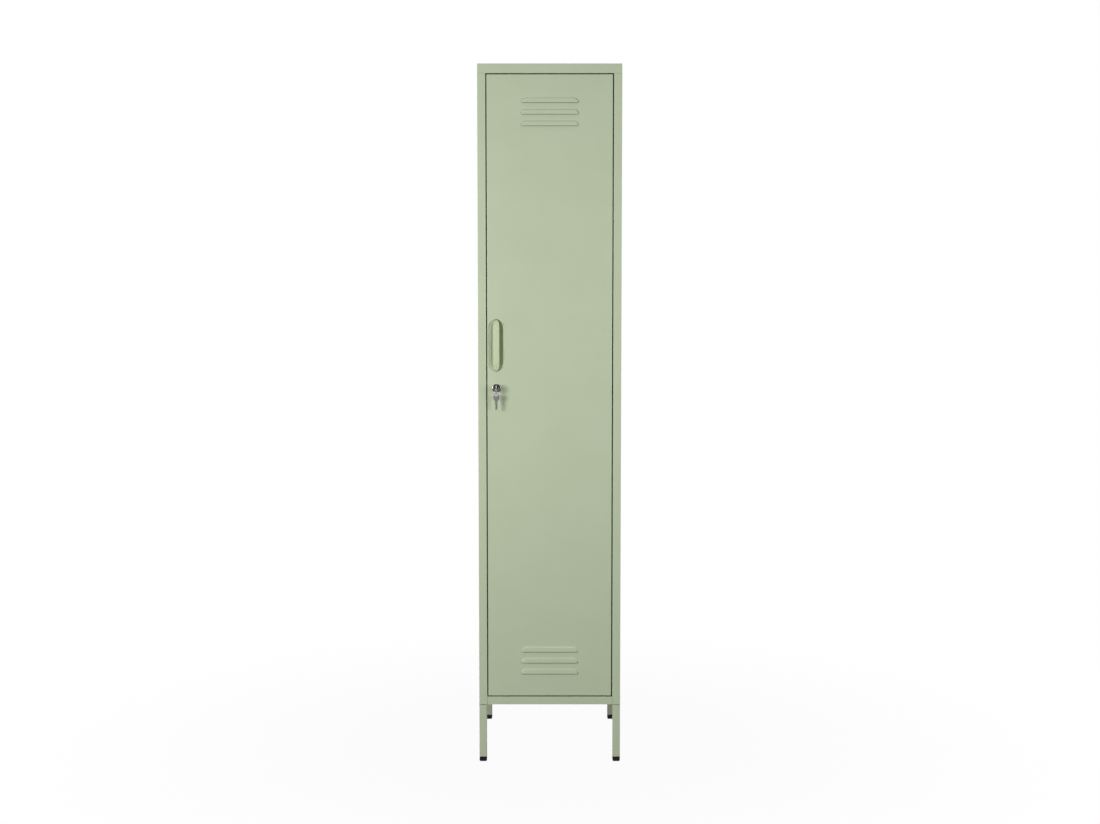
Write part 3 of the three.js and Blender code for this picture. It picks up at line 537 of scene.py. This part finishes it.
def makeSidePanel(word, hand):
    s = panelShape
    lo, hi = boxOf(word + "_side_panel")
    wall = -max(abs(lo[0]), abs(hi[0]))
    opening, stop, base = wall + s["stile"], lo[1] + s["jamb"], boxOf("base_panel")
    path = [(opening + s["lip"], stop), (opening, stop), (opening, lo[1]), (wall, lo[1]),
            (wall, hi[1]), (opening, hi[1]), (opening, hi[1] - s["jamb"])]
    if hand > 0:
        path = [(-x, y) for x, y in reversed(path)]
    # the stop lip is cut away at the bottom, where the base panel stands
    n, near = s["notch"], abs(opening)
    notch = blockMesh(sorted((hand * (near - n["side"]), hand * (near - s["lip"] - n["past"]))),
                      (stop - n["front"], stop + n["back"]),
                      (lo[2] - n["past"], base[1][2] + s["seat"]))
    bm = foldedSheet(path, (lo[2], capBase - s["seat"]), s["fold"], s["gauge"], [notch])
    placeModel(word + "_side_sheet", bm, word + "_side_panel")


# cap: a shallow tray turned over, its front skirt returned under as the top rail
capShape = dict(gauge=0.8, fold=1.6, turn=17, turnFold=1.28, bushHole=4.7, holeReach=6)


def makeCap():
    s = capShape
    lo, hi = boxOf("top_panel")
    bm = blockMesh((lo[0], hi[0]), (lo[1], hi[1]), (lo[2], hi[2]))
    bmesh.ops.delete(bm, geom=facesTowards(bm, (0, 0, -1)), context="FACES")
    bevelEdges(bm, [e for e in bm.edges if e.is_manifold], s["fold"])
    skirt = [e for e in bm.edges if e.is_boundary and liesAt(e, 1, lo[1])]
    turned = bmesh.ops.extrude_edge_only(bm, edges=skirt)
    bmesh.ops.translate(bm, vec=(0, s["turn"], 0), verts=vertsIn(turned["geom"]))
    bm.normal_update()
    under = [e for e in bm.edges
             if e.is_manifold and liesAt(e, 2, lo[2]) and liesAt(e, 1, lo[1])]
    bevelEdges(bm, under, s["turnFold"])
    x, y, _ = middle(boxOf("upper_hinge_bush"))
    hole = rodMesh(s["bushHole"], "Z", (x, y, lo[2]), s["holeReach"])
    placeModel("cap_sheet", pressed(bm, s["gauge"], [hole]), "top_panel")


# back: a flat sheet with a flange down each side and two holes for wall screws
backShape = dict(gauge=0.8, fold=1.2, flange=20, seat=0.3, hole=3, holeReach=8, holeHalf=110,
                 holeDrop=60)


def makeBack():
    s = backShape
    lo, hi = boxOf("back_panel")
    flange = hi[1] - s["flange"]
    path = [(lo[0], flange), (lo[0], hi[1]), (hi[0], hi[1]), (hi[0], flange)]
    holeAt = capBase - s["holeDrop"]
    holes = [rodMesh(s["hole"], "Y", (side * s["holeHalf"], hi[1], holeAt), s["holeReach"])
             for side in (-1, 1)]
    bm = foldedSheet(path, (lo[2], capBase - s["seat"]), s["fold"], s["gauge"], holes)
    placeModel("back_sheet", bm, "back_panel")


# legs: square tube with the corner radius of drawn tube, on rounded plastic feet
legShape = dict(corner=2.0, gauge=1.2, seam=1.3, footSeat=0.3, toeRise=4.5, toeInset=2.8,
                toeRings=7)


def makeLeg(word):
    s = legShape
    lo, hi = boxOf(word + "_leg")
    tubeTop = boxOf("left_side_panel")[0][2] - s["seam"]
    bm = blockMesh((lo[0], hi[0]), (lo[1], hi[1]), (lo[2], tubeTop))
    ends = facesTowards(bm, (0, 0, -1)) + facesTowards(bm, (0, 0, 1))
    bmesh.ops.delete(bm, geom=ends, context="FACES")
    bevelEdges(bm, [e for e in bm.edges if e.is_manifold], s["corner"])
    placeModel(word + "_tube", pressed(bm, s["gauge"]), word + "_leg")
    footTop = lo[2] - s["footSeat"]
    lo, hi = boxOf(word + "_foot")
    bm = blockMesh((lo[0], hi[0]), (lo[1], hi[1]), (lo[2], footTop))
    bevelEdges(bm, [e for e in bm.edges if climbs(e)], s["corner"])
    # the toe is cut into rings that draw in along a quarter of an ellipse
    for i in range(1, s["toeRings"] + 1):
        ringAt = lo[2] + s["toeRise"] * (i / s["toeRings"]) ** 2
        bmesh.ops.bisect_plane(bm, geom=[*bm.verts, *bm.edges, *bm.faces], dist=snap,
                               plane_co=(0, 0, ringAt), plane_no=(0, 0, 1))
    for v in bm.verts:
        below = max(0.0, 1 - (v.co.z - lo[2]) / s["toeRise"])
        inset = s["toeInset"] * (1 - math.sqrt(1 - below ** 2))
        for axis in (0, 1):
            v.co[axis] += math.copysign(inset, (lo[axis] + hi[axis]) / 2 - v.co[axis])
    placeModel(word + "_foot_pad", bm, word + "_foot", sharp=50)


# cam lock: a bright bezel with a flat face, and the plug with its keyway; the profiles are radius
# and depth
lockShape = dict(bezel=((6.3, -3.2), (6.45, -3.7), (6.9, -3.95), (7.6, -4.0), (9.6, -3.97),
                        (10.5, -3.85), (11.1, -3.45), (11.4, -2.8), (11.5, -1.9), (11.5, -0.3),
                        (9.0, -0.3), (9.0, 20.0), (6.3, 20.0), (6.3, -3.2)),
                 plug=((0.0, -3.8), (5.5, -3.8), (5.9, -3.55), (6.1, -3.1), (6.1, 20.3),
                       (5.0, 20.3), (5.0, 23.7), (0.0, 23.7)),
                 slot=dict(xHalf=1.3, zHalf=3.5, front=-6, depth=13.3))


def makeLock():
    x, _, z = middle(boxOf("lock_body"))
    slot = lockShape["slot"]
    placeModel("lock_bezel", turnedMesh(lockShape["bezel"], (x, frontFace, z)), "lock_body")
    keyway = blockMesh((x - slot["xHalf"], x + slot["xHalf"]),
                       (frontFace + slot["front"], frontFace + slot["depth"]),
                       (z - slot["zHalf"], z + slot["zHalf"]))
    plug = pressed(turnedMesh(lockShape["plug"], (x, frontFace, z)), None, [keyway])
    placeModel("lock_plug_round", plug, "lock_plug")


# keys: stamped flat blanks with an oval bow, rounded edges and a cut blade
keyShape = dict(thick=2, facets=48, hole=3.4, neckHalf=4, neckLap=5, bladeHalf=3.2, point=2.6,
                ease=0.45, easeFrom=60, easeSteps=3, cuts=(4.0, 7.0, 10.0, 13.0),
                cutDepth=(1.2, 1.9, 0.9, 1.6), cutHalf=1.4, cutFloor=0.3)
lockKey = dict(bow=(11, 9.5), holeAt=0, neckEnd=15, tip=32)
spareKey = dict(bow=(10.5, 9), holeAt=-5.7, neckEnd=17, tip=34.5)
ringShape = dict(radius=6.5, wire=0.6, wireFacets=12, facets=60, turn=45)


def thickenFlat(bm):
    grown = bmesh.ops.extrude_face_region(bm, geom=bm.faces[:])
    bmesh.ops.translate(bm, vec=(0, 0, keyShape["thick"]), verts=vertsIn(grown["geom"]))
    bmesh.ops.translate(bm, vec=(0, 0, -keyShape["thick"] / 2), verts=bm.verts)
    bmesh.ops.recalc_face_normals(bm, faces=bm.faces)


# drawn flat, with u from the bow's middle to the tip and v across it, then turned into place
def makeKey(name, node, place, bow, holeAt, neckEnd, tip):
    s = keyShape
    bm = bmesh.new()
    outer = bmesh.ops.create_circle(bm, segments=s["facets"], radius=1.0)["verts"]
    bmesh.ops.scale(bm, vec=(*bow, 1), verts=outer)
    inner = bmesh.ops.create_circle(bm, segments=s["facets"], radius=s["hole"])["verts"]
    bmesh.ops.translate(bm, vec=(holeAt, 0, 0), verts=inner)
    bmesh.ops.bridge_loops(bm, edges=bm.edges)
    thickenFlat(bm)
    bm.normal_update()
    bevelEdges(bm, sharpEdges(bm, s["easeFrom"]), s["ease"], s["easeSteps"])
    half, neck, lap, point = s["bladeHalf"], s["neckHalf"], bow[0] - s["neckLap"], tip - s["point"]
    edge = [(tip, 0), (point, half), (neckEnd, half), (neckEnd, neck), (lap, neck), (lap, -neck),
            (neckEnd, -neck), (neckEnd, -half)]
    for at, depth in zip(s["cuts"], s["cutDepth"]):
        u = neckEnd + at
        edge += [(u - s["cutHalf"], -half), (u - s["cutFloor"], depth - half),
                 (u + s["cutFloor"], depth - half), (u + s["cutHalf"], -half)]
    edge.append((point, -half))
    blade = bmesh.new()
    blade.faces.new([blade.verts.new((u, v, 0)) for u, v in edge])
    thickenFlat(blade)
    whole = pressed(bm, None, [blade], "UNION")
    bmesh.ops.transform(whole, matrix=place, verts=whole.verts)
    placeModel(name, whole, node)


# a ring of wire, turned halfway between the flat of the one key and the flat of the other
def makeRing(x, y):
    s = ringShape
    bm = bmesh.new()
    wire = bmesh.ops.create_circle(bm, segments=s["wireFacets"], radius=s["wire"])["verts"]
    bmesh.ops.rotate(bm, matrix=Matrix.Rotation(math.pi / 2, 3, "X"), verts=wire)
    bmesh.ops.translate(bm, vec=(s["radius"], 0, 0), verts=wire)
    bmesh.ops.spin(bm, geom=bm.verts[:] + bm.edges[:], cent=(0, 0, 0), axis=(0, 0, 1),
                   angle=math.tau, steps=s["facets"], use_merge=True)
    bmesh.ops.remove_doubles(bm, verts=bm.verts, dist=weld)
    bmesh.ops.recalc_face_normals(bm, faces=bm.faces)
    turn = Matrix.Rotation(math.radians(s["turn"]), 3, "Z") @ Matrix.Rotation(math.pi / 2, 3, "X")
    bmesh.ops.rotate(bm, matrix=turn, verts=bm.verts)
    bmesh.ops.translate(bm, vec=(x, y, middle(boxOf("key_ring"))[2]), verts=bm.verts)
    placeModel("ring_wire", bm, "key_ring")


def makeKeys():
    box = boxOf("key")
    x, _, z = middle(box)
    y = box[0][1] + lockKey["bow"][0]
    inLock = Matrix(((0, 0, 1, x), (1, 0, 0, y), (0, 1, 0, z), (0, 0, 0, 1)))
    makeKey("lock_key", "key", inLock, **lockKey)
    bowAt = boxOf("spare_key")[1][2] - spareKey["bow"][0]
    hanging = Matrix(((0, 1, 0, x), (0, 0, -1, y), (-1, 0, 0, bowAt), (0, 0, 0, 1)))
    makeKey("hanging_key", "spare_key", hanging, **spareKey)
    makeRing(x, y)


makeDoor()
makeGrip()
makeLock()
makeKeys()
for word, hand in (("left", -1), ("right", 1)):
    makeSidePanel(word, hand)
makeCap()
makeBack()
for end in ("front", "rear"):
    for side in ("left", "right"):
        makeLeg(end + "_" + side)
print("door, grip, sheets and legs modelled")


# every other part is plain: a merged copy of its solid, with its edges eased
easedShape = dict(width=0.25, segments=2, weld=0.001, flat=1, sharp=40)
modelled = {"door_panel", "grip_cup", "left_side_panel", "right_side_panel", "top_panel",
            "back_panel", "lock_body", "lock_plug", "key", "spare_key", "key_ring"}


def easedCopy(node):
    s = easedShape
    bm = bmesh.new()
    bm.from_mesh(frame["nodes"][node].data)
    bmesh.ops.remove_doubles(bm, verts=bm.verts, dist=s["weld"] * mm)
    bmesh.ops.dissolve_limit(bm, angle_limit=math.radians(s["flat"]), verts=bm.verts,
                             edges=bm.edges)
    bevelEdges(bm, sharpEdges(bm, s["sharp"]), s["width"] * mm, s["segments"])
    placePiece(node + "_eased", bm, node)


for node in frame["nodes"]:
    if node not in modelled and not node.endswith(("_leg", "_foot")):
        easedCopy(node)
print("plain parts eased")


# camera at the photograph's height and distance, tipped down a little
cameraSpot = dict(lens=57.6, away=4.661, height=1.383, aside=0.0008, pitch=5.30)
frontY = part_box("left_side_panel")[0].y


def addCamera():
    spot = cameraSpot
    data = bpy.data.cameras.new("front view")
    data.sensor_width = 36
    data.sensor_fit = "HORIZONTAL"
    data.lens = spot["lens"]
    camera = bpy.data.objects.new("front view", data)
    camera.location = (spot["aside"], frontY - spot["away"], spot["height"])
    camera.rotation_euler = (math.radians(90 - spot["pitch"]), 0, 0)
    bpy.context.collection.objects.link(camera)
    bpy.context.scene.camera = camera


# soft boxes: the left one is the main light, the right one fills, the others light what the front
# ones miss
softBoxes = dict(
    left=dict(at=(-1.6, -1.75, 1.26), aim=(0, -0.2, 1.2), size=(0.7, 0.9), power=40),
    right=dict(at=(1.6, -1.75, 1.22), aim=(0, -0.2, 1.2), size=(0.7, 0.9), power=23.6),
    top=dict(at=(0, -0.6, 4.0), aim=(0, 0, 1.0), size=(2.0, 2.0), power=11),
    leftSide=dict(at=(-3.2, 1.1, 1.5), aim=(0, 0.1, 1.0), size=(1.2, 1.6), power=16),
    rightSide=dict(at=(3.2, 1.1, 1.5), aim=(0, 0.1, 1.0), size=(1.2, 1.6), power=16),
    rear=dict(at=(0.6, 3.4, 1.7), aim=(0, 0.2, 1.0), size=(1.4, 1.8), power=36))


def addSoftBox(name, box):
    data = bpy.data.lights.new(name + " soft box", "AREA")
    data.shape = "RECTANGLE"
    data.size, data.size_y = box["size"]
    data.energy = box["power"]
    lamp = bpy.data.objects.new(name + " soft box", data)
    lamp.location = box["at"]
    aim = Vector(box["aim"]) - Vector(box["at"])
    lamp.rotation_euler = aim.to_track_quat("-Z", "Y").to_euler()
    bpy.context.collection.objects.link(lamp)


# 1 for what the eye sees, straight, in a mirror or through glass, and 0 for light that falls on
# the object
def addSeen(tree):
    path = addNode(tree, "ShaderNodeLightPath")
    seen = path.outputs["Is Camera Ray"]
    for ray in ("Is Glossy Ray", "Is Transmission Ray"):
        either = addNode(tree, "ShaderNodeMath", {0: seen, 1: path.outputs[ray]},
                         operation="MAXIMUM")
        seen = either.outputs[0]
    return seen


# white surround for the eye and for mirrors, a dimmer one as light
surround = dict(light=0.22, colour="#FFFFFF")


def addSurround():
    world = bpy.data.worlds.new("white studio")
    bpy.context.scene.world = world
    world.use_nodes = True
    world.node_tree.nodes.clear()
    strength = addNode(world, "ShaderNodeMapRange", {
        "Value": addSeen(world), "To Min": surround["light"], "To Max": 1.0})
    glow = addNode(world, "ShaderNodeBackground", {
        "Color": linear(surround["colour"]), "Strength": strength.outputs["Result"]})
    addNode(world, "ShaderNodeOutputWorld", {"Surface": glow.outputs[0]})


# pale floor that reads as white and keeps a soft shadow under the feet
floorLook = dict(size=40, colour="#646462", glow=0.96, near=0.35, far=1.5)


def addFloor():
    bm = bmesh.new()
    bmesh.ops.create_grid(bm, x_segments=1, y_segments=1, size=floorLook["size"] / 2)
    floor = asObject("studio floor", bm)
    m = newMaterial("matt white floor")
    place = addNode(m, "ShaderNodeTexCoord").outputs["Object"]
    away = addNode(m, "ShaderNodeVectorMath", {0: place}, operation="LENGTH")
    white = addNode(m, "ShaderNodeMapRange", {
        "Value": away.outputs["Value"], "From Min": floorLook["near"],
        "From Max": floorLook["far"], "To Min": floorLook["glow"]})
    part = addNode(m, "ShaderNodeMath", {0: addSeen(m), 1: white.outputs["Result"]},
                   operation="MULTIPLY")
    matt = addNode(m, "ShaderNodeBsdfDiffuse", {"Color": linear(floorLook["colour"])})
    glow = addNode(m, "ShaderNodeEmission", {"Color": linear("#FFFFFF"), "Strength": 1.0})
    closeMaterial(m, addNode(m, "ShaderNodeMixShader", {0: part.outputs[0], 1: matt.outputs[0],
                                                       2: glow.outputs[0]}))
    floor.data.materials.append(m)


# the dark side of the room, wall and floor, behind and below the camera, which only mirrors see
darkRoom = dict(wall=-6.5, near=-1.2, half=10, height=12, floor=0.02, colour="#1C1E1B")


def addDarkRoom():
    s = darkRoom
    bm = bmesh.new()
    sill = [bm.verts.new((x, s["near"], s["floor"])) for x in (-s["half"], s["half"])]
    line = [bm.edges.new(sill)]
    for step in ((0, s["wall"] - s["near"], 0), (0, 0, s["height"])):
        grown = bmesh.ops.extrude_edge_only(bm, edges=line)["geom"]
        ends = vertsIn(grown)
        bmesh.ops.translate(bm, vec=step, verts=ends)
        line = [bm.edges.get(ends)]
    room = asObject("dark_room", bm)
    m = newMaterial("dark room")
    closeMaterial(m, addNode(m, "ShaderNodeBsdfDiffuse", {"Color": linear(s["colour"])}))
    room.data.materials.append(m)
    for ray in ("camera", "diffuse", "shadow", "transmission"):
        setattr(room, "visible_" + ray, False)


addCamera()
addDarkRoom()
for name, box in softBoxes.items():
    addSoftBox(name, box)
addSurround()
addFloor()
bpy.context.scene.view_settings.view_transform = "Standard"
print("studio ready")
